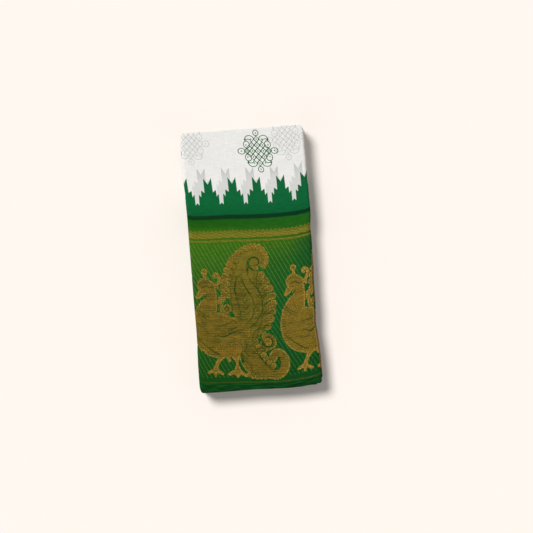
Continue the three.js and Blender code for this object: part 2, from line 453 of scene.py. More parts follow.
def relief(along, across, creases):
    """How far the cloth lies below its plain form: slow waves, a sum of cosines, and each crease as a
    trough, depth · exp(−(distance / half width)²), that dies out over its two ends."""
    depth = sum(size * (1 + np.cos(along / a + across / b + phase)) for size, a, b, phase in SLOW_WAVES)
    for (s0, w0), (s1, w1), half, deep in creases:
        length = math.hypot(s1 - s0, w1 - w0)
        t = ((along - s0) * (s1 - s0) + (across - w0) * (w1 - w0)) / length**2
        away = ((along - s0) * (w1 - w0) - (across - w0) * (s1 - s0)) / length
        reach = np.clip(1 - np.abs(2 * t - 1) ** 4, 0, 1) * (t > 0) * (t < 1)
        depth = depth + deep * reach * np.exp(-((away / half) ** 2))
    return depth


def stepped(stops, counts):
    """Distances from the first stop to the last, with so many even steps between each two."""
    spans = [np.linspace(a, b, count + 1)[1:] for a, b, count in zip(stops, stops[1:], counts)]
    return np.concatenate([stops[:1], *spans])


def rows_across(fine, medium):
    """Distances across the cloth from the near selvedge: fine over the gold figures, wider beyond,
    then the rows that curl over the folded end. Their number less one divides by four."""
    near = -LENGTH / 2
    far = LENGTH / 2 - FOLD_RADIUS
    low = np.linspace(near, FIGURES_TOP, 4 * round((FIGURES_TOP - near) / fine / 4) + 1)
    high = np.linspace(FIGURES_TOP, far, 4 * round((far - FIGURES_TOP) / medium / 4) + 1)
    return np.concatenate([low, high[1:], high[-1] + FOLD_CURL])


def outer_grid(line, along, start, across, creases):
    """The outer ply as a grid: along the strip's line and across to the folded end, where it curls
    over by y = R sin a, drop = R (1 − cos a). It lies below its plain form by relief()."""
    place, normal = resampled(line, along)
    x = place[:, :1]
    near = -eased(ENDS, 1, x) + corner_inset(x)
    far = eased(ENDS, 3, x) - corner_inset(x)
    w = across[None, :]
    end = LENGTH / 2 - FOLD_RADIUS
    curl = np.clip(w - end, 0, None)
    angle = np.clip(curl / FOLD_RADIUS, 0, math.pi)
    back = np.clip(curl - FOLD_RADIUS * math.pi, 0, None)
    y = np.minimum(w, end) + FOLD_RADIUS * np.sin(angle) - back
    from_near = np.clip((w + LENGTH / 2) / END_REACH, 0, 1)
    from_far = np.clip((LENGTH / 2 - w) / END_REACH, 0, 1)
    y = y + near * (1 - from_near) ** 2 + far * (1 - from_far) ** 2
    drop = FOLD_RADIUS * (1 - np.cos(angle))
    droop = DROOP["depth"] * (1 - np.clip((w + LENGTH / 2) / DROOP["reach"], 0, 1)) ** 2
    s = along[:, None] + start + 0 * y
    low = relief(s, y, creases) + drop + droop
    points = laid(x - normal[:, :1] * low, y, place[:, 1:] - normal[:, 1:] * low)
    return points, s, y


def normals(grid):
    """Unit normals of a grid of points, from the cross product of its two directions."""
    facing = np.cross(np.gradient(grid, axis=0), np.gradient(grid, axis=1))
    return facing / np.linalg.norm(facing, axis=-1, keepdims=True)


def make_mesh(name, points, quads, triangles, maps, attributes):
    """A smooth mesh from arrays, with its bake map and its attributes on points."""
    mesh = bpy.data.meshes.new(name)
    mesh.vertices.add(len(points))
    mesh.vertices.foreach_set("co", points.ravel())
    corners = np.concatenate([quads.ravel(), triangles.ravel()]).astype(np.int32)
    mesh.loops.add(len(corners))
    mesh.loops.foreach_set("vertex_index", corners)
    starts = np.concatenate([4 * np.arange(len(quads)), 4 * len(quads) + 3 * np.arange(len(triangles))])
    mesh.polygons.add(len(starts))
    mesh.polygons.foreach_set("loop_start", starts.astype(np.int32))
    mesh.polygons.foreach_set("use_smooth", np.ones(len(starts), bool))
    mesh.update(calc_edges=True)
    if maps is not None:
        layer = mesh.uv_layers.new(name="OFBake")
        layer.data.foreach_set("uv", maps.ravel())
    for key, values in attributes.items():
        kind, field = ("FLOAT_VECTOR", "vector") if values.ndim == 2 else ("FLOAT", "value")
        mesh.attributes.new(key, kind, "POINT").data.foreach_set(field, values.astype(np.float32).ravel())
    piece = bpy.data.objects.new(name, mesh)
    bpy.context.scene.collection.objects.link(piece)
    return piece


def grid_quads(columns, rows, first=0):
    """Corner indices of a grid's quads, wound so that they face along columns × rows."""
    corner = first + np.arange(columns - 1)[:, None] * rows + np.arange(rows - 1)[None, :]
    corner = corner.ravel()
    return np.stack([corner, corner + rows, corner + rows + 1, corner + 1], -1)


INNER_STEP = 4

# A rim's fans between five points of the outer edge, 0 to 4, and two of the inner edge, 5 and 6
RIM_FANS = [(1, 0, 5), (2, 1, 5), (5, 6, 2), (3, 2, 6), (4, 3, 6)]

# The bake map: the outer side at the left, the inner side at the right and the four rims over it
MAP_EDGE, MAP_GAP, MAP_END = 0.01, 0.02, 0.985
OUTER_WIDTH, OUTER_HEIGHT, INNER_HEIGHT = 0.62, 0.97, 0.56
RIM_FLOOR, RIM_PITCH, RIM_HEIGHT = 0.6, 0.09, 0.05


def thin_cloth(name, outer, places, figures):
    """A closed thin cloth: the outer grid, an inner grid with every fourth point set in by the
    thickness, and a rim of fans between their edges. The bake map gives the outer side most room."""
    columns, rows = outer.shape[:2]
    inner = (outer - CLOTH_THICKNESS * MM * normals(outer))[::INNER_STEP, ::INNER_STEP]
    inner_columns, inner_rows = inner.shape[:2]
    count = columns * rows
    index = np.arange(count).reshape(columns, rows)
    inner_index = count + np.arange(inner_columns * inner_rows).reshape(inner_columns, inner_rows)
    size = places[-1, -1, :2] - places[0, 0, :2]
    outer_map = places[..., :2] - places[0, 0, :2]
    inner_map = outer_map[::INNER_STEP, ::INNER_STEP]
    outer_map = MAP_EDGE + outer_map * (OUTER_HEIGHT / max(size[1], size[0] / OUTER_WIDTH))
    left = outer_map[..., 0].max() + MAP_GAP
    room = MAP_END - left
    inner_map = inner_map * min(room / size[0], INNER_HEIGHT / size[1]) + (left, MAP_EDGE)
    corner_map = np.concatenate([outer_map.reshape(-1, 2), inner_map.reshape(-1, 2)])
    rims, rim_maps = [], []
    sides = [
        (index[:, 0], inner_index[:, 0]),
        (index[-1, :], inner_index[-1, :]),
        (index[::-1, -1], inner_index[::-1, -1]),
        (index[0, ::-1], inner_index[0, ::-1]),
    ]
    for number, (edge, inner_edge) in enumerate(sides):
        k = np.arange(len(inner_edge) - 1)
        steps = [INNER_STEP * k + step for step in range(INNER_STEP + 1)]
        corners = [*(edge[step] for step in steps), inner_edge[k], inner_edge[k + 1]]
        shares = [step / (len(edge) - 1) for step in [*steps, steps[0], steps[-1]]]
        floor = RIM_FLOOR + RIM_PITCH * number
        heights = np.array([floor + RIM_HEIGHT] * len(steps) + [floor] * 2)
        for fan in RIM_FANS:
            rims.append(np.stack([corners[corner] for corner in fan], -1))
            u = left + room * np.stack([shares[corner] for corner in fan], -1)
            rim_maps.append(np.stack([u, np.broadcast_to(heights[list(fan)], u.shape)], -1))
    triangles = np.concatenate(rims)
    inner_quads = grid_quads(inner_columns, inner_rows, count)[:, ::-1]
    quads = np.concatenate([grid_quads(columns, rows), inner_quads])
    maps = np.concatenate([corner_map[quads.ravel()], np.concatenate(rim_maps).reshape(-1, 2)])
    points = np.concatenate([outer.reshape(-1, 3), inner.reshape(-1, 3)])
    attributes = {}
    for key, values in {"cloth": places, **figures}.items():
        both = [values, values[::INNER_STEP, ::INNER_STEP]]
        attributes[key] = np.concatenate([part.reshape(-1, *part.shape[2:]) for part in both])
    return make_mesh(name, points, quads, triangles, maps, attributes)


def woven_place(s, y):
    """Where the pattern stands at a point of the cloth: the weft's pull is taken off the distance
    across, as much as it is at that point of the top, and less on the sides beyond it."""
    share = np.clip((y - PULL["selvedge"]) / (PULL["border"] - PULL["selvedge"]), 0, 1)
    pull = share * eased(WEFT_PULL, 1, s) + (1 - share) * eased(WEFT_PULL, 2, s)
    beyond = np.clip((np.abs(s) - PULL["side"]) / PULL["fade"], 0, 1)
    pull = pull * (1 - beyond)
    return np.stack([s + PATTERN_SHIFT[0], y + PATTERN_SHIFT[1] - pull, 0 * s], -1)


# The gold figures in the border: a bird with a crest and a high curled plume, once in each repeat.
# Each is worked out as a depth inside the gold, in millimetres, from tapered strokes.
FIGURE_REPEAT = 99.0
GROUND_LINE = 0.8
NO_GOLD = -9.0


def curve(points, steps=6):
    """A Catmull-Rom curve through rows of (along, across, half width)."""
    p = np.asarray(points, float)
    p = np.vstack([2 * p[0] - p[1], p, 2 * p[-1] - p[-2]])
    t = np.linspace(0, 1, steps, endpoint=False)[:, None]
    spans = []
    for a, b, c, d in zip(p, p[1:], p[2:], p[3:]):
        spans.append(b + 0.5 * t * (c - a + t * (2 * a - 5 * b + 4 * c - d + t * (3 * (b - c) + d - a))))
    return np.vstack([*spans, p[-2:-1]])


def spiral(centre, start, turns, outer, inner, widths, count=14):
    """Points of a spiral: its radius goes evenly from outer to inner as its angle turns."""
    t = np.linspace(0, 1, count)
    angle = math.radians(start) + 2 * math.pi * turns * t
    radius = outer + (inner - outer) * t
    width = widths[0] + (widths[1] - widths[0]) * t
    x, y = centre
    return np.column_stack([x + radius * np.cos(angle), y + radius * np.sin(angle), width])


class GoldWork:
    """Depth inside the gold at points of the cloth, the same without its drawn lines, and a tone for
    each part of the figure."""

    def __init__(self, along, across):
        self.along = along
        self.across = across
        self.depth = np.full(along.shape, NO_GOLD)
        self.body = np.full(along.shape, NO_GOLD)
        self.tone = np.zeros(along.shape)

    def inside(self, points):
        """Depth inside a stroke: the most, over its straight spans, of half width minus distance."""
        path = curve(points)
        low = (path[:, :2] - path[:, 2:]).min(0) - 3
        high = (path[:, :2] + path[:, 2:]).max(0) + 3
        middle = (low[0] + high[0]) / 2
        along = self.along - middle
        along = along - FIGURE_REPEAT * np.round(along / FIGURE_REPEAT) + middle
        near = (along > low[0]) & (along < high[0]) & (self.across > low[1]) & (self.across < high[1])
        x, y = along[near], self.across[near]
        best = np.full(x.shape, NO_GOLD)
        for (ax, ay, ar), (bx, by, br) in zip(path, path[1:]):
            length = max((bx - ax) ** 2 + (by - ay) ** 2, 1e-9)
            t = np.clip(((x - ax) * (bx - ax) + (y - ay) * (by - ay)) / length, 0, 1)
            away = np.hypot(x - ax - t * (bx - ax), y - ay - t * (by - ay))
            best = np.maximum(best, ar + (br - ar) * t - away)
        full = np.full(self.along.shape, NO_GOLD)
        full[near] = best
        return full

    def lay(self, points, tone=0.0, gap=GROUND_LINE):
        """Lays a stroke over what is there, with a thin line of ground left round it."""
        over = self.inside(points)
        self.depth = np.maximum(np.minimum(self.depth, -over - gap), over)
        self.body = np.maximum(self.body, over)
        self.tone = np.where(over > 0, tone, self.tone)

    def cut(self, points):
        """Takes a stroke away, so that the ground shows."""
        self.depth = np.minimum(self.depth, -self.inside(points))


# Outlines that the figures' lobes and beads stand along, as rows of (along, across)
FEATHER_TIPS = [
    (6, -79.5), (13, -74), (16.8, -66), (19, -57), (20.3, -48), (19.6, -39), (17, -30.5), (13, -22.5),
    (8.5, -17),
]
CROWN_KNOBS = [
    (12.5, -7.5), (15.2, -3.2), (15.6, 3), (14, 9.6), (8.5, 14.8), (0, 16.4), (-8, 13.8), (-16.5, 8.6),
    (-23.4, 1.6),
]
BACK_LOBES = [(-23.4, 1.6), (-28.4, -8.4), (-32.4, -17.6), (-34.6, -27), (-34.4, -37.5)]
TAIL_BEADS = [
    (-17.5, -85), (-9.5, -88.4), (-2.5, -93), (0.4, -98.5), (4, -105.4), (7.5, -111.6), (14, -119),
]
TAIL_SCALLOPS = [(-13.5, -129.4), (-5, -131), (4.5, -131.6)]


def evenly(points, spacing):
    """Places at even spacing along a Catmull-Rom curve, with its way there."""
    line = curve([(*point, 0) for point in points], 12)[:, :2]
    length = walked(line)[-1]
    return places_on(line, np.linspace(0, length, round(length / spacing) + 1), 0.5)


def weave_tail(gold):
    """The low tail that ends in a hook, with scallops under it, and the ringed curl over it."""
    gold.lay(
        [(-16, -92, 8), (-13, -103, 10), (-8, -114, 12.3), (0, -120.5, 11), (10, -125, 8.2),
         (19, -127, 7), (26, -121.5, 6.2), (26.6, -111.5, 5.6), (21.5, -105, 5.4), (16, -106.5, 4.6),
         (14.5, -110.5, 4.2)],
        0.1,
    )
    for x, y in evenly(TAIL_SCALLOPS, 4.5)[0]:
        gold.lay([(x, y, 2.5), (x + 1, y + 4, 1.6)], 0.1, 0.4)
    gold.cut([(-23.8, -111, 0.6), (-22.4, -119.5, 0.75), (-18, -126.4, 0.75), (-14.6, -131.5, 1.0)])
    gold.cut([(-20.4, -103, 0.3), (-19.4, -108, 1.6), (-18.7, -112.5, 1.5), (-19.6, -115, 0.4)])
    gold.cut([(20.7, -110, 1.0), (21.4, -115.5, 1.6), (19.7, -120.8, 1.6), (16.3, -122.6, 0.7)])
    gold.cut([(10.8, -113.8, 0.35), (15, -115.4, 0.5), (20, -115.2, 0.5)])
    gold.cut([(-3, -103.5, 0.4), (2.6, -112, 0.55), (9, -119.2, 0.55), (15.5, -122.6, 0.6)])
    gold.cut([(-28.4, -91.2, 0.7), (-22.4, -94.6, 0.4), (-14.8, -102.5, 0.5), (-11.6, -107.5, 0.5)])
    gold.cut([(-15.5, -113, 0.3), (-10.5, -119, 0.4), (-9.5, -124, 0.5)])
    gold.lay([(-9, -95, 5), (-2, -99.5, 4.4), (5, -100.6, 4.2)], 0.0, 0)
    gold.lay(spiral((10.6, -91.5), -142, 1.0, 7.6, 4.8, (3.2, 3.4)), 0.1, 0.3)
    gold.lay([(10.2, -91.2, 3.8), (10.8, -91.2, 3.8)], 0.1, 0)
    gold.cut(spiral((10.6, -91.5), -175, 0.76, 6.4, 4.9, (1.0, 0.6)))
    gold.cut([(1.6, -84.4, 0.6), (3.0, -88.6, 1.5), (4.8, -92.4, 1.1), (6.6, -94.8, 0.7)])
    gold.cut([(7.4, -103.4, 0.5), (11.4, -102, 1.0), (16.6, -99.8, 0.5)])
    for number, ((x, y), way) in enumerate(zip(*evenly(TAIL_BEADS, 5.2))):
        half = 0.9 + 0.25 * (number % 2)
        dx, dy = way[1] * half, way[0] * half
        gold.lay([(x - dx, y + dy, 2.7), (x + dx, y - dy, 2.7)], 0.25 - 0.2 * (number % 2), 0.85)


# The leaf's and the plume's long ribs, as rows of (along, across, half width)
PLUME_RIBS = [
    [(-5.5, -18, 0.3), (-1, -26, 0.5), (5.2, -35.3, 0.55), (7.6, -44, 0.45), (7.4, -56, 0.45),
     (2, -67, 0.45), (-7, -75, 0.4), (-18, -80, 0.3)],
    [(-14.2, -15, 0.3), (-11, -27.5, 0.6), (-4.8, -38.5, 0.55), (-2, -47, 0.45), (-2.4, -58, 0.45),
     (-7, -67, 0.4), (-16, -74, 0.3)],
    [(-14.2, -15, 0.3), (-19.4, -22, 0.5), (-21.7, -31.5, 0.95), (-21.2, -40, 0.5), (-19, -49, 0.45),
     (-17.4, -58, 0.4), (-18.5, -66, 0.3)],
    [(-27, -13, 0.3), (-29.4, -24, 0.45), (-28.8, -37, 0.4), (-26.8, -49, 0.5), (-25.8, -60, 0.45)],
]

# How far the knobs round the plume's tip stand out of it
KNOB_REACH = 3.5


def weave_plume(gold):
    """The high plume: a mango shape with feathers down its right, a leaf within, and a curled tip."""
    gold.lay(
        [(-12, -88, 8), (-8, -76, 14), (-6.5, -62, 18.5), (-6.5, -48, 21.5), (-8, -34, 21),
         (-10, -18, 17.5), (-9, -4, 14.5), (-3, 3, 11.5), (3, 3.5, 10.4), (8, 1.5, 7.6)],
        -0.25,
    )
    for number, (x, y) in enumerate(evenly(FEATHER_TIPS, 8.6)[0]):
        turn = min(max((y + 30) / 16, 0), 1)
        quill = (x - 12 + 9 * turn, y - 10 - 4 * turn, 0.9)
        vane = (x - 6.5 + 5 * turn, y - 3 - 3 * turn, 2.8)
        gold.lay([quill, vane, (x, y, 4.0)], 0.15 - 0.3 * (number % 2), 0.8)
        gold.cut([(x - 7 + 5 * turn, y - 4.5 - 2 * turn, 0.2), (x - 3.5 + 2 * turn, y - 1.2 - turn, 0.3)])
    gold.lay([(-2, -24, 1.5), (-2.5, -17, 2.8), (-2.4, -12.4, 3.3)], -0.2, 0.5)
    for rib in PLUME_RIBS:
        gold.cut(rib)
    for height in (-31, -37.5, -44, -50.5, -57):
        x = -13.5 + 0.25 * (-31 - height) / 2
        for side in (-1, 1):
            vein = (x + side * 2.2, height - 1.4, 0.4)
            gold.cut([(x, height - 4, 0.25), vein, (x + side * 4.2, height, 0.25)])
    for height in (-48, -55, -62):
        gold.cut([(-0.5, height - 4, 0.2), (3.6, height, 0.3)])
    for x, y in evenly(BACK_LOBES, 7.0)[0]:
        gold.lay([(x + 5.5, y - 2.5, 2.6), (x, y, 3.5)], 0.3, 0.75)
    gold.cut(spiral((2.3, -3.1), 205, -0.8, 7.9, 3.0, (1.4, 0.45)))
    gold.cut([(-6.6, -17, 0.3), (-6.7, -11, 0.7), (-5.3, -6.4, 1.4)])
    gold.cut(
        [(-3.6, -8.2, 1.0), (-0.6, -10.8, 0.6), (3.2, -12.2, 0.5), (7, -11.8, 0.6), (10.6, -11.8, 1.1),
         (15, -13, 1.3)]
    )
    for (x, y), way in zip(*evenly(CROWN_KNOBS, 5.3)):
        gold.lay([(x - way[1] * KNOB_REACH, y + way[0] * KNOB_REACH, 1.7), (x, y, 2.7)], 0.2, 0.5)
    gold.lay(
        [(-38, -52, 2.0), (-39.6, -47.4, 2.3), (-39.4, -43, 2.3), (-37, -40.8, 2.3), (-34.6, -42.8, 1.9),
         (-35.4, -45.4, 1.2)],
        0.4,
        0.5,
    )
    gold.lay([(-38.6, -50, 2.0), (-37.4, -56, 2.4), (-33, -59.6, 2.6)], 0.2, 0)
    gold.lay([(-32.2, -54.2, 5.2), (-32, -54.3, 5.2)], 0.2, 0.5)
    gold.cut(spiral((-32.1, -54.2), 70, 1.15, 3.1, 1.2, (0.5, 0.35)))


def weave_bird(gold):
    """The bird that faces left: body, wing and belly lines, legs with spread toes, neck, head, crest."""
    gold.lay(
        [(-57, -60, 12), (-55.5, -74, 16.5), (-53, -87, 17.5), (-43, -93.5, 15.5), (-31, -95, 12),
         (-22, -95, 8)],
        0.2,
    )
    gold.lay([(-49.6, -34, 7.0), (-49.8, -44, 7.2), (-54, -53, 10.5), (-58, -62, 12)], 0.3, 0)
    gold.lay([(-50, -68, 12), (-38, -71.5, 11.5), (-27, -75, 10.5), (-17, -80, 10)], 0.2, 0)
    gold.cut([(-29, -58, 1.0), (-28, -60.8, 2.4), (-26.5, -61.6, 2.2), (-24.8, -62.4, 0.8)])
    gold.cut([(-27, -63.4, 0.5), (-21.5, -63.8, 0.5), (-17, -66, 0.5)])
    gold.cut([(-71, -49.6, 0.3), (-66, -53.6, 0.45), (-60, -58.8, 0.45), (-52, -63.4, 0.3)])
    gold.cut([(-71, -52.6, 0.3), (-66, -56.6, 0.45), (-60, -61.8, 0.45), (-52, -66.4, 0.3)])
    gold.cut([(-49, -71.4, 0.3), (-41, -72.8, 0.5), (-32, -70.6, 0.4), (-24, -66.5, 0.3)])
    gold.cut([(-44, -77.5, 0.25), (-36, -79, 0.35), (-26, -76, 0.35), (-17, -72, 0.3)])
    gold.cut(
        [(-47, -82.2, 0.3), (-39.4, -85.2, 0.7), (-32, -83, 0.65), (-24, -79.6, 0.45), (-15, -77, 0.3)]
    )
    gold.cut([(-53, -89.6, 0.3), (-46, -90.8, 0.45), (-41, -90.4, 0.3)])
    gold.cut(
        [(-70, -84, 0.4), (-64.8, -89, 0.5), (-57.4, -96, 0.55), (-49, -102.2, 0.55),
         (-38, -106.6, 0.45)]
    )
    gold.lay([(-40.5, -106, 3.4), (-45.4, -112, 2.2), (-48.2, -117.4, 1.9)], 0.4, 0)
    gold.lay([(-48.6, -119, 2.2), (-49.8, -123, 3.3)], 0.5, 0)
    for toe in [(-57, -125), (-50, -128), (-42, -126.6)]:
        gold.lay([(-49.4, -121.8, 2.0), (*toe, 1.5)], 0.5, 0)
    gold.lay(
        [(-26.6, -99, 8.4), (-26.4, -106, 5.0), (-25.3, -112.6, 2.0), (-25.2, -117, 1.5),
         (-25.2, -121, 2.8)],
        0.5,
        0,
    )
    gold.lay([(-25.2, -122, 3.2), (-25.2, -125.4, 4.2)], 0.6, 0)
    for toe in [(-34.4, -127.2), (-25.4, -130), (-16, -129.6)]:
        gold.lay([(-25.2, -123.4, 2.6), (*toe, 1.7)], 0.6, 0)
    gold.lay([(-34.4, -108.4, 2.2), (-33.4, -112.6, 1.2)], 0.3, 0)
    gold.lay([(-55, -26.8, 8.4), (-51, -29.4, 8.0)], 0.2, 0.3)
    gold.lay([(-58.6, -33.6, 3.6), (-61.6, -37.6, 2.8), (-64.6, -40.6, 1.9)], 0.5, 0)
    gold.cut([(-61.4, -44, 1.0), (-57.4, -41.6, 0.9), (-53.4, -37.6, 0.4)])
    gold.cut([(-62.4, -25.4, 0.25), (-55, -22.6, 0.4), (-46, -25.6, 0.25)])
    gold.cut([(-58.6, -30.2, 0.3), (-54, -27.6, 0.5), (-49.4, -29.4, 0.45), (-44.4, -28.4, 0.25)])
    gold.cut([(-56.4, -32.8, 0.4), (-55.4, -32.6, 0.4)])
    gold.lay([(-54, -19.6, 1.8), (-54.2, -15.6, 1.6)], 0.3, 0)
    gold.lay([(-54.6, -11.6, 3.4), (-54.4, -11.5, 3.4)], 0.5, 0)
    gold.cut(spiral((-54.4, -11.6), -60, 0.8, 1.6, 0.8, (0.4, 0.3)))
    gold.lay(
        [(-43.4, -28.6, 2.2), (-40.4, -25.4, 1.8), (-38.4, -20.6, 1.8), (-39.2, -16.2, 1.8),
         (-42.4, -14.4, 1.8), (-44, -17.2, 1.5), (-42.4, -18.8, 1.1)],
        0.5,
        0.4,
    )
    gold.lay([(-41.4, -28.6, 1.6), (-40.4, -31, 1.1)], 0.3, 0)


def gold_work(places):
    """The figures' depth and tone at every point of a grid of places on the cloth."""
    gold = GoldWork(places[..., 0].ravel(), places[..., 1].ravel())
    weave_tail(gold)
    weave_plume(gold)
    weave_bird(gold)
    shape = places.shape[:2]
    found = {"gold": gold.depth, "gold_body": gold.body, "gold_tone": gold.tone}
    return {key: values.reshape(shape) for key, values in found.items()}


nose_line = turned(-1, **NOSE, middle=TOP_FLOOR + STRETCH / 2, half=STRETCH / 2, down=False)
right_line = turned(1, **RIGHT_TURN, middle=PACKET_HEIGHT / 2, half=PACKET_HEIGHT / 2)
front_line = np.concatenate([[(NOSE["start"] + TUCK, TOP_FLOOR)], nose_line, right_line])
front_walk = walked(front_line)
nose_length = front_walk[len(nose_line)]
top_length = RIGHT_TURN["start"] - NOSE["start"]
front_stops = [0, nose_length, nose_length + top_length, front_walk[-1]]
front_along = stepped(front_stops, FRONT_STEPS)
front_across = rows_across(fine=0.6, medium=2.6)
front_start = NOSE["start"] - nose_length
front_grid, front_s, front_y = outer_grid(
    front_line, front_along, front_start, front_across, FRONT_CREASES
)
front_places = woven_place(front_s, front_y)
front_gold = gold_work(front_places)

# The figure before the first one stands further off than a repeat, so its tail doesn't reach the top
TAIL_CLEARED = (-60.5, -101.0)
from_tail = np.maximum(front_places[..., 0] - TAIL_CLEARED[0], front_places[..., 1] - TAIL_CLEARED[1])
front_gold["gold"] = np.minimum(front_gold["gold"], from_tail)
front_gold["gold_body"] = np.minimum(front_gold["gold_body"], from_tail)
front_cloth = thin_cloth("front_cloth", front_grid, front_places, front_gold)

# The border cotton's finish
# Fine plain-weave cotton with extra gold yarn floated over it for the figures and bands. The green
# is woven in, so each edge follows the yarns. White ground above the temple spires.

# The green at the cloth's left and right: height above the cloth's middle, red, green, blue
BORDER_LEFT = [
    (-150, 14, 66, 20),
    (-137.5, 16, 72, 20),
    (-128, 20, 74, 20),
    (-100, 24, 82, 22),
    (-60, 28, 86, 24),
    (-20, 46, 92, 24),
    (4, 57, 105, 22),
    (19.5, 58, 108, 18),
    (33.0, 60, 108, 18),
    (39.0, 34, 92, 16),
    (46.3, 26, 88, 16),
    (46.9, 12, 56, 28),
    (51.0, 12, 56, 28),
    (51.6, 12, 94, 48),
    (66.0, 15, 103, 56),
    (90.0, 17, 103, 57),
]
BORDER_RIGHT = [
    (-150, 8, 58, 22),
    (-137.5, 18, 71, 25),
    (-128, 14, 72, 24),
    (-100, 12, 78, 30),
    (-60, 12, 84, 36),
    (0, 30, 90, 28),
    (19.5, 58, 102, 20),
    (33.0, 34, 96, 24),
    (46.3, 32, 95, 25),
    (46.9, 9, 54, 30),
    (51.0, 9, 54, 30),
    (51.6, 12, 94, 50),
    (66.0, 15, 102, 56),
    (90.0, 17, 102, 57),
]
BORDER_SPAN = (-150.0, 90.0)

# Heights of the hem and of the gold lines and band, measured as the green's are, and the pinstripes
HEM_TOP = -138.0
HEM_LINE = (-137.0, -136.0)
GOLD_LINE = (20.9, 23.2)
BAND = {"foot": 25.5, "teeth": 30.8, "tips": 34.6, "slope": 2.0, "pitch": 4.7}
STRIPE = {"pitch": 4.6, "slant": 0.5, "half_width": 0.27}
STRIPE_SPAN = (-131.0, 20.0)

WHITE_COTTON = dye(241, 240, 236)
GHOST_GREY = dye(199, 200, 199)
GOLD_DARK = dye(70, 66, 14)
GOLD_YARN = dye(122, 100, 25)
# Pale gold of the painted highlights: glints and the shine on the right fold
GOLD_PAINTED_HIGHLIGHT = dye(216, 178, 88)
GOLD_WARM = dye(138, 98, 22)
GOLD_PALE = dye(134, 124, 36)
PIN_GREEN = dye(126, 156, 70)
KOLAM_GREEN = dye(8, 96, 44)
GOLD_OLIVE = dye(94, 94, 20)
GOLD_PLUME = dye(118, 104, 28)
LINE_DARK = dye(38, 58, 12)

# Temple spires: distance from a spire's middle, height of its edge above the border's foot
SPIRE_PITCH = 26.7
SPIRE_MIDDLE = -15.9
SPIRE_EDGE = [
    (0.0, 86.0),
    (4.0, 92.8),
    (4.35, 92.8),
    (4.6, 77.0),
    (4.8, 77.0),
    (7.4, 79.2),
    (8.2, 79.2),
    (8.45, 72.3),
    (8.6, 72.3),
    (10.5, 74.6),
    (11.0, 74.6),
    (11.2, 63.0),
    (13.35, 65.3),
]
SPIRE_SPAN = (60.0, 100.0)

# How far left and up the ghosts of the spires on the ply beneath stand
GHOST_SHIFT = (6.0, 11.0)

cotton = Loom("border_cotton")
along, across, _ = cotton.split(cotton.attribute("cloth", 1))
waver = cotton.cloud(along / 9, across / 4, 0.0)
jitter = cotton.cloud(along * 1.7, across * 1.7, 3.0, 1.0)
s = along + (jitter - 0.5) * 0.5
w = across + (waver - 0.5) * 0.7 + (jitter - 0.5) * 0.35

# The yarns' streaks: warp runs along the border and weft across it
warp = cotton.cloud(s * 3.2, w / 14, 0.0)
weft = cotton.cloud(s / 12, w * 3.2, 2.0)

# Green ground, with pinstripes that slant down to the right between the gold line and the selvedge, and
# painted shade towards the right fold
side = along.above(-2.0, 66.0)
left_green, right_green = (
    cotton.ramp(w, [(place, dye(*shown)) for place, *shown in table], *BORDER_SPAN)
    for table in (BORDER_LEFT, BORDER_RIGHT)
)
ground = cotton.blend(side, left_green, right_green)
slanted = s + w * STRIPE["slant"]
stripe = abs(slanted.from_repeat(STRIPE["pitch"])).below(STRIPE["half_width"], 0.2)
dashes = cotton.cloud(slanted / STRIPE["pitch"], w / 2.2, 7.0).above(0.44, 0.12)
# Painted shade: towards the right fold, where its shoulder turns from the lamp, the ground darkens and
# the pinstripes fade
corner = along.above(51.0, 13.0) * w.between(-60.0, 26.0, 14.0)
stripe = stripe * (0.25 + 0.75 * dashes) * w.between(*STRIPE_SPAN, 1.0) * (1 - corner * 0.6)
ground = cotton.blend(corner * 0.75, ground, dye(16, 80, 34))

# Streaks of the hem, painted shade and painted highlight of its creases, and a short crease above it at
# the right painted as a dark line of shade
hem = w.below(HEM_TOP, 0.8)
tuck = abs(w + 128.6 - s * 0.05).below(0.5, 0.35) * s.between(31.0, 45.0, 2.0)
hem_painted_light_and_shade = cotton.cloud(s / 16, across * 0.75, 11.0, 1.0)
ground = cotton.blend(hem * hem_painted_light_and_shade.above(0.52, 0.08) * 0.6, ground, dye(6, 40, 12))
ground = cotton.blend(hem * hem_painted_light_and_shade.below(0.42, 0.08) * 0.5, ground, dye(24, 98, 38))
ground = cotton.blend(stripe * (0.36 + 0.3 * (w - s * 0.6).above(-60.0, 70.0)), ground, PIN_GREEN)

# Spires of the temple edge, and the white body above them
spire_distance = abs(s.from_repeat(SPIRE_PITCH, SPIRE_MIDDLE))
low, high = SPIRE_SPAN
spire_stops = [(d, ((h - low) / (high - low),) * 3 + (1.0,)) for d, h in SPIRE_EDGE]


def spire_height(distance):
    """Height of the spires' edge at a distance from a spire's middle."""
    shade = cotton.ramp(distance, spire_stops, 0.0, SPIRE_PITCH / 2)
    return cotton.add("ShaderNodeSeparateColor", {}, (shade,)) * (high - low) + low


white_share = (w - spire_height(spire_distance)).above(0.0, 0.35)
ghost_distance = abs(s.from_repeat(SPIRE_PITCH, SPIRE_MIDDLE - GHOST_SHIFT[0]))
ghost = (w - GHOST_SHIFT[1] - spire_height(ghost_distance)).below(0.0, 0.7)

# The dotted lattice that stands once in each repeat of the white body, with its loops. Its cells are
# the unit of (u, v), and it is the same in all four quarters.
KOLAM_REPEAT = 106.8
KOLAM_MIDDLE = (15.9, 121.5)
GHOST_MIDDLE = (47.4, 132.3)
KOLAM_CELL = (6.05, 6.7)
KOLAM_LINE = 0.47
KOLAM_SLOPE = (0.085, 0.035)
KOLAM_REACH = {"lattice": 2.5, "dots": 3.3}
KOLAM_DOT = 0.7
KOLAM_TIP = ((2.07, 1.93), 0.6)
KOLAM_PALE = (2.0, 0.45)
DIAGONAL = 0.7071
KOLAM_RINGS = [
    ((2.97, 0.0), (0.64, 0.48)),
    ((0.0, 3.05), (0.47, 0.47)),
    ((1.9, 1.07), (0.54, 0.58)),
]
KOLAM_ARCS = [
    ((1.28, 2.0), (0.79, 0.6)),
    ((1.56, 1.52), (0.56, 0.48)),
]


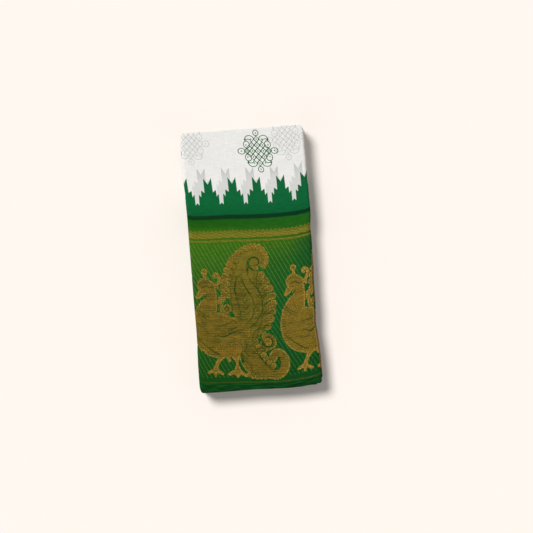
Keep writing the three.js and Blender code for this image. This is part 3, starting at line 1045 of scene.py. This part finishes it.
def from_point(u, v, point):
    """Distance in millimetres from a point of the lattice."""
    du, dv = u - point[0], v - point[1]
    return (du.power(2.0) + dv.power(2.0)).power(0.5) * (sum(KOLAM_CELL) / 2)


def from_ring(u, v, centre, radii):
    """Distance in millimetres from an ellipse: |√((du / a)² + (dv / b)²) − 1| · its mean radius."""
    du, dv = (u - centre[0]) / radii[0], (v - centre[1]) / radii[1]
    return abs((du * du + dv * dv).power(0.5) - 1) * (sum(radii) / 2 * sum(KOLAM_CELL) / 2)


def kolam(along_middle, across_middle, soft):
    """Share of the lattice's lines and dots at a place, and of the two pale cells at its sides."""
    dx = s.from_repeat(KOLAM_REPEAT, along_middle)
    dy = w - across_middle
    u = (dx + dy * KOLAM_SLOPE[0]) / KOLAM_CELL[0]
    v = (dy + dx * KOLAM_SLOPE[1]) / KOLAM_CELL[1]
    unit = sum(KOLAM_CELL) / 2
    rising, falling = abs((u + v).from_repeat(1.0, 0.5)), abs((u - v).from_repeat(1.0, 0.5))
    u, v = abs(u), abs(v)
    within = (u + v).below(KOLAM_REACH["lattice"] + KOLAM_LINE / unit, 0.03)
    from_line = cotton.least(rising, falling) * (unit * DIAGONAL) + (1 - within) * 9
    lattice = from_line.below(KOLAM_LINE, soft)
    dot = from_point(u.from_repeat(1.0), v.from_repeat(1.0), (0.0, 0.0))
    dots = dot.below(KOLAM_DOT, soft) * (u + v).below(KOLAM_REACH["dots"], 0.05)
    rings = [from_ring(u, v, *ring) for ring in KOLAM_RINGS]
    arcs = [from_ring(u, v, *arc) + v.below(arc[0][1], 0.02) * 9 for arc in KOLAM_ARCS]
    tip = from_point(u, v, KOLAM_TIP[0]) - KOLAM_TIP[1]
    cell = (abs(u - KOLAM_PALE[0]) + v).below(KOLAM_PALE[1], 0.06)
    drawn = cotton.least(*rings, *arcs, tip).below(KOLAM_LINE * 0.85, soft)
    crossing = rising.below(0.13, 0.04) * falling.below(0.13, 0.04) * within
    return cotton.most(lattice + crossing, dots * (1 - cell), drawn), cell


kolam_lines, kolam_cell = kolam(*KOLAM_MIDDLE, 0.2)
ghost_lines, _ = kolam(*GHOST_MIDDLE, 0.4)
ghost = cotton.most(ghost * (0.25 + 0.6 * weft + 0.4 * w.above(96.0, 9.0)), ghost_lines * 0.8)
white = cotton.blend(ghost, WHITE_COTTON, GHOST_GREY)
white = cotton.blend(kolam_cell * 0.45, white, KOLAM_GREEN)
white = cotton.blend(cotton.least(kolam_lines * 1.15, 1.0), white, KOLAM_GREEN)
base = cotton.blend(white_share, ground, white)
# Painted shade of the short crease above the hem
base = cotton.blend(tuck * 0.6, base, dye(8, 40, 10))

# Gold bands and lines, with painted highlights on the gold and painted shade in its hollows
thread = cotton.cloud(s / 9, across * 1.5, 1.0, 3.0, 0.65)
pick = cotton.cloud(s / 60, across * 1.05, 9.0, 1.0)
patch = cotton.cloud(s / 11, w / 7, 4.0)
depth = cotton.attribute("gold")
body = cotton.attribute("gold_body")
tone = cotton.attribute("gold_tone")
gold_share = (depth + 0.04 + (jitter - 0.5) * 0.5).above(0.0, 0.3)
drawn_line = body.above(0.3, 0.3) * depth.above(-0.8, 0.4) * (1 - gold_share)
# The lobes' rims, where the painted glints are more and brighter
rim = gold_share * body.below(1.7, 0.8)
# Painted shade: inside the figures the gold darkens next to their drawn lines, as in the hollows of
# raised work
hollow_painted_shade = gold_share * body.above(1.6, 0.8) * depth.below(0.9, 0.9)
grain = cotton.cloud(s * 0.9, w * 1.3, 5.0)
east = along.above(30.0, 30.0)
# Painted highlights: glints scattered over the gold yarn
glint = grain.above(0.64 - rim * 0.06 - tone * 0.02 - east * 0.03, 0.05)
# Painted highlight: a bright dashed line of gold along the right fold's shoulder, where it catches the
# lamp
fold_painted_highlight = gold_share * along.between(64.4, 66.2, 0.5) * grain.above(0.44, 0.06)
spike = abs(s.from_repeat(BAND["pitch"])) * (BAND["slope"] / (BAND["pitch"] / 2)) + (grain - 0.5) * 1.6
band = (w + spike).below(BAND["tips"], 0.35) * w.above(BAND["foot"], 0.3)
spikes = band * w.above(BAND["teeth"], 0.8)
turns = math.pi / BAND["pitch"]
leaf = ((s + w * 1.4) * (2 * turns)).sine() * ((s - w * 0.3) * turns).sine()
gold_line = w.between(*GOLD_LINE, 0.35) * 0.78
hem_line = w.between(*HEM_LINE, 0.35) * (patch + 0.3) * (0.3 + 0.25 * side)
gold = cotton.most(gold_share, band * (1 - spikes * 0.35), gold_line, hem_line)
ribs = (across * (2 * math.pi / 2.6)).sine() * 0.13
# The gold runs from dark to full yarn colour by its weft streaks, picks, patches, ribs and tone, lighter
# towards the plume's top and the right, and darker where painted shade fills the hollows
shade = 0.47 + (thread - 0.5) * 1.6 + (pick - 0.5) * 0.9 + (patch - 0.5) * 1.1
shade = shade + tone * 0.22 - hollow_painted_shade * 0.1 + w.above(-12.0, 22.0) * 0.25 + east * 0.15 + ribs
lit = shade.above(0.45, 0.42)
gold_colour = cotton.blend(lit, GOLD_DARK, GOLD_YARN)
gold_colour = cotton.blend(tone.below(-0.1, 0.12) * lit, gold_colour, GOLD_PLUME)
warm = (tone - 0.2).above(0.1, 0.3) * 0.5 * shade.above(0.4, 0.3)
gold_colour = cotton.blend(warm, gold_colour, GOLD_WARM)
band_colour = cotton.blend((leaf * 0.5 + thread).above(0.45, 0.35), GOLD_OLIVE, GOLD_PALE)
band_colour = cotton.blend(spikes * 0.12, band_colour, GOLD_WARM)
gold_colour = cotton.blend(w.above(19.0, 1.0), gold_colour, band_colour)
# Painted highlights, glints and the fold's shine, laid over the gold in pale gold
painted_highlight = cotton.most(glint * (0.5 + rim * 0.3), fold_painted_highlight * 0.6)
gold_colour = cotton.blend(painted_highlight, gold_colour, GOLD_PAINTED_HIGHLIGHT)
base = cotton.blend(drawn_line * 0.85, base, LINE_DARK)
base = cotton.blend(gold * 0.94, base, gold_colour)

# Weave
weave = (warp + weft - 1.0) * 0.5
mottle = cotton.cloud(s / 8, across / 2.2, 6.0, 3.0, 0.6)
slub = (weave * 1.4 + (mottle - 0.5) * (1.4 - white_share) + 0.5).above(0.5, 0.5)
slub = cotton.blend(slub, (0.84, 0.84, 0.84, 1), (1.14, 1.14, 1.14, 1))
base = cotton.blend(1.0, base, slub, "MULTIPLY")
height = weave * 0.5 + gold * 0.35 + thread * gold * 0.3
bump = cotton.bump(0.35, 0.12 * MM, height)
cotton.finish(
    Base_Color=base,
    Roughness=0.9 - gold * 0.35,
    Metallic=gold * 0.12,
    Specular_IOR_Level=0.06,
    Normal=bump,
)
front_cloth.data.materials.append(cotton.material)
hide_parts("front_panel", "front_fold", "right_fold")
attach(front_cloth, "root")

# Back cloth
# The same outer ply, going on from the right spine: flat under the packet, then up round the left
# spine, where it is tucked between the middle stretch and the top one.
BACK_STEPS = (136, 28)
BACK_GAP = 0.3
BACK_CREASES = [
    ((120, -110), (180, -96), 3.0, 0.15),
    ((110, 20), (150, 48), 4.0, 0.15),
    ((224, -120), (246, -112), 1.5, 0.35),
    ((226, -52), (244, -60), 1.6, 0.35),
    ((224, 4), (246, 10), 1.4, 0.4),
    ((226, 70), (244, 62), 1.8, 0.35),
    ((224, 112), (246, 120), 1.5, 0.35),
]
left_line = turned(-1, **LEFT_TURN, middle=LEFT_HALF, half=LEFT_HALF, down=False)
left_line[:, 1] = np.clip(left_line[:, 1], 0, MIDDLE_FLOOR + STRETCH)
back_foot = (RIGHT_TURN["start"] - BACK_GAP, 0.0)
back_tuck = (LEFT_TURN["start"] + TUCK, MIDDLE_FLOOR + STRETCH)
back_line = np.concatenate([[back_foot], left_line, [back_tuck]])
back_walk = walked(back_line)
back_along = stepped([0, back_walk[1], back_walk[-1]], BACK_STEPS)
back_across = rows_across(fine=0.9, medium=3.2)
back_start = front_start + front_along[-1] + BACK_GAP
back_grid, back_s, back_y = outer_grid(back_line, back_along, back_start, back_across, BACK_CREASES)
back_places = woven_place(back_s, back_y)
back_cloth = thin_cloth("back_cloth", back_grid, back_places, gold_work(back_places))
back_cloth.data.materials.append(cotton.material)
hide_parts("back_panel", "left_fold")
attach(back_cloth, "root")

# Second ply
# The other selvedge of the same folded cloth. Its plain green edge shows past the top ply at the
# near right, a little lower and in its shade.
SECOND = {"left": -60, "right": 61, "depth": 12, "height": 28.9, "pattern_shift": 40}
second_x, second_share = np.meshgrid(
    np.linspace(SECOND["left"], SECOND["right"], 161), np.linspace(0, 1, 13), indexing="ij"
)
second_y = -LENGTH / 2 - eased(ENDS, 2, second_x) - 0.2 + SECOND["depth"] * second_share
second_z = SECOND["height"] - 0.8 * (1 - np.clip(second_share * 3, 0, 1)) ** 2
second_z = second_z - 0.12 * np.cos(second_x / 7 + 1)
second_grid = laid(second_x, second_y, second_z)
second_places = np.stack([second_x + SECOND["pattern_shift"], second_y, 0 * second_y], -1)
bare = {key: np.full(second_y.shape, NO_GOLD) for key in ("gold", "gold_body", "gold_tone")}
second_ply = thin_cloth("second_ply", second_grid, second_places, bare)
second_ply.data.materials.append(cotton.material)
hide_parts("under_selvedge")
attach(second_ply, "root")

# Layer stack
# The rest of the cloth inside: sixteen leaves of four plies in each stretch. A leaf and its partner
# are one band of cloth, joined round the nose, so eight bands nest one inside the next.
LEAVES = 16
PLY = 0.14
PLY_HALF = 0.055
STACK_FACE = CLOTH_THICKNESS + 0.6
LEAF_PITCH = (STRETCH - 2 * STACK_FACE) / LEAVES
STACK_END = 1.0
LOOSE_END = 56.0

# Room between the leaves and the outer ply at the sides, and how the shoulder's crease presses them in
SIDE_ROOM = 0.9
SPINE_ROOM = 1.35
SHOULDER = {"height": 26.0, "spread": 5.0, "press": 1.3}

# Rows along a ply, as shares of its length, and rows along the strip: for each turn and millimetre
STATIONS = (0.0, 0.14, 0.24, 0.36, 0.66, 1.0)
ROWS_PER_BEND = 5.2
ROWS_PER_MM = 0.15

# The leaves' uneven edges: size and length of each wave, which may start anywhere
EDGE_WAVES = [(0.35, 31.0), (0.22, 12.5), (0.12, 5.5)]
SELVEDGE_WAVE = (0.5, 17.0)
PHASES = (0, 6.3)
rng = np.random.default_rng(20)

# The place across the cloth that the plies of its white body are coloured by
WHITE_PLACE = 130.0


def plies(near_shift, far_shift, level, white):
    """One ply from the near end to the far end, a row at each station: (share of the near end, share
    of the far end, inward shift, level, 1 for the white body and 0 for a border)."""
    return [(1 - t, t, near_shift + (far_shift - near_shift) * t, level, white) for t in STATIONS]


def leaf_profile():
    """One leaf across the cloth's width: out from the first selvedge, round the far fold, back to the
    fold at the near end, out to the inner fold and back to the second selvedge."""
    rows = plies(0.0, -1.5 * PLY, 1.5, 0)
    for angle in np.radians([45, 90, 135]):
        rows.append((0, 1, -1.5 * PLY * (1 - math.sin(angle)), 1.5 * math.cos(angle), 1))
    rows += plies(0.6, -1.5 * PLY, -1.5, 1)[::-1]
    rows += [(1, 0, 0.6 - PLY / 2, -1.0, 1)]
    rows += plies(0.6, -1.9 * PLY, -0.5, 1)
    rows += [(0, 1, -1.3 * PLY, 0.0, 1)]
    rows += plies(1.2, -1.9 * PLY, 0.5, 0)[::-1]
    return np.array(rows, float)


def strip_line(level):
    """The strip's line for a leaf at a height above its stretch's floor: from the loose end, round
    the left spine, along the bottom, up the right spine, over the top and half round the nose."""
    half = LEFT_GAP + level
    reach = (LEFT_TURN["reach"] - SIDE_ROOM) * half / LEFT_HALF
    left = turned(-1, LEFT_TURN["start"], reach, 2.8 - 0.6 * (1 - half / LEFT_HALF), LEFT_HALF, half)
    middle = PACKET_HEIGHT / 2
    half = TOP_FLOOR - middle + level
    reach = (RIGHT_TURN["reach"] - SPINE_ROOM) * (half / middle) ** 1.1
    squareness = 2.6 - 0.5 * (1 - half / middle)
    right = turned(1, RIGHT_TURN["start"], reach, squareness, middle, half, down=False)
    press = SHOULDER["press"] * np.exp(-(((right[:, 1] - SHOULDER["height"]) / SHOULDER["spread"]) ** 2))
    right[:, 0] -= press * np.clip((right[:, 0] - RIGHT_TURN["start"]) / 2, 0, 1)
    loose, nose = (LOOSE_END, MIDDLE_FLOOR + level), (NOSE["start"], TOP_FLOOR + level)
    return np.concatenate([[loose], left, right, [nose]])


def band_line(level):
    """A leaf, the nose and its partner leaf, as one line."""
    middle = STRETCH / 2
    half = abs(level - middle)
    reach = (NOSE["reach"] - SIDE_ROOM) * half / middle
    nose = turned(-1, NOSE["start"], reach, 2.5, TOP_FLOOR + middle, half)
    return np.concatenate([strip_line(level), nose[1:-1], strip_line(STRETCH - level)[::-1]])


def spread(line):
    """Stations along a line: close together where it turns and far apart where it is straight."""
    fine = np.linspace(0, walked(line)[-1], 1600)
    _, normal = resampled(line, fine)
    bend = np.concatenate([[0], np.hypot(*np.diff(normal, axis=0).T)])
    effort = np.cumsum(bend * ROWS_PER_BEND + ROWS_PER_MM * (fine[1] - fine[0]))
    return np.interp(np.linspace(effort[0], effort[-1], int(effort[-1]) + 1), effort, fine)


leaf_near, leaf_far, leaf_shift, leaf_level, leaf_white = leaf_profile().T
turn = np.gradient(np.stack([(leaf_far - leaf_near) * 40 + leaf_shift, leaf_level * PLY], -1), axis=0)
turn /= np.linalg.norm(turn, axis=1, keepdims=True)


def band_rings(band):
    """A band as a ring of points at each station, round both faces of the leaf, with their places on
    the cloth. The leaf's profile runs across it, and its line along it."""
    line = band_line(STRETCH - STACK_FACE - LEAF_PITCH * (band + 0.5))
    at = spread(line)
    place, normal = resampled(line, at)
    x, z = place.T
    waves = sum(size * np.cos(at / length + rng.uniform(*PHASES)) for size, length in EDGE_WAVES)
    groups = 0.9 * (band % 4 == 0) + 0.5 * rng.random()
    near = -LENGTH / 2 - eased(ENDS, 2, x) + corner_inset(x) + STACK_END + waves + groups
    far = LENGTH / 2 + eased(ENDS, 3, x) - corner_inset(x) - STACK_END + waves[::-1] - groups
    selvedge = SELVEDGE_WAVE[0] * np.cos(at / SELVEDGE_WAVE[1] + rng.uniform(*PHASES))
    y = near[:, None] * leaf_near + far[:, None] * leaf_far + leaf_shift
    y = y + selvedge[:, None] * (leaf_near * (1 - leaf_white))
    faces, places = [], []
    for sign in (1, -1):
        out = leaf_level * PLY + sign * PLY_HALF * turn[:, 0]
        face_y = y - sign * PLY_HALF * turn[:, 1]
        face = laid(x[:, None] - normal[:, :1] * out, face_y, z[:, None] - normal[:, 1:] * out)
        faces.append(face[:, ::sign])
        across = np.where(leaf_white > 0, WHITE_PLACE, face_y)
        places.append(np.stack([at[:, None] + 0 * across, across, 0 * across], -1)[:, ::sign])
    return np.concatenate(faces, axis=1), np.concatenate(places, axis=1)


def band_quads(stations, count, first):
    """Quads between the rings of a band and over its two ends, with its first point's index."""
    i = np.arange(stations - 1)[:, None] * count
    j = np.arange(count)[None, :]
    k = (j + 1) % count
    walls = np.stack([i + j, i + count + j, i + count + k, i + k], -1).reshape(-1, 4)
    c = np.arange(count // 2 - 1)
    cap = np.stack([c, c + 1, count - 2 - c, count - 1 - c], -1)
    return [walls + first, cap + first, cap[:, ::-1] + (stations - 1) * count + first]


stack_points, stack_places, stack_quads, first = [], [], [], 0
for band in range(LEAVES // 2):
    rings, places = band_rings(band)
    stack_quads += band_quads(*rings.shape[:2], first)
    stack_points.append(rings.reshape(-1, 3))
    stack_places.append(places.reshape(-1, 3))
    first += len(stack_points[-1])
layer_stack = make_mesh(
    "layer_stack",
    np.concatenate(stack_points),
    np.concatenate(stack_quads),
    np.empty((0, 3), int),
    None,
    {"cloth": np.concatenate(stack_places)},
)

# The hidden layers' finish: green borders and a white body
plain = Loom("body_cotton")
along, across, _ = plain.split(plain.attribute("cloth", 1))
grain = plain.cloud(along / 3, across * 1.5, 0.0)
shade = plain.blend((across + (grain - 0.5) * 2).above(70.0, 1.0), dye(20, 92, 44), WHITE_COTTON)
shade = plain.blend(1.0, shade, plain.blend(grain, (0.9, 0.9, 0.9, 1), (1.06, 1.06, 1.06, 1)), "MULTIPLY")
plain.finish(
    Base_Color=shade,
    Roughness=0.9,
    Specular_IOR_Level=0.06,
    Normal=plain.bump(0.3, 0.1 * MM, grain),
)
layer_stack.data.materials.append(plain.material)
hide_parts("folded_layers")
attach(layer_stack, "root")
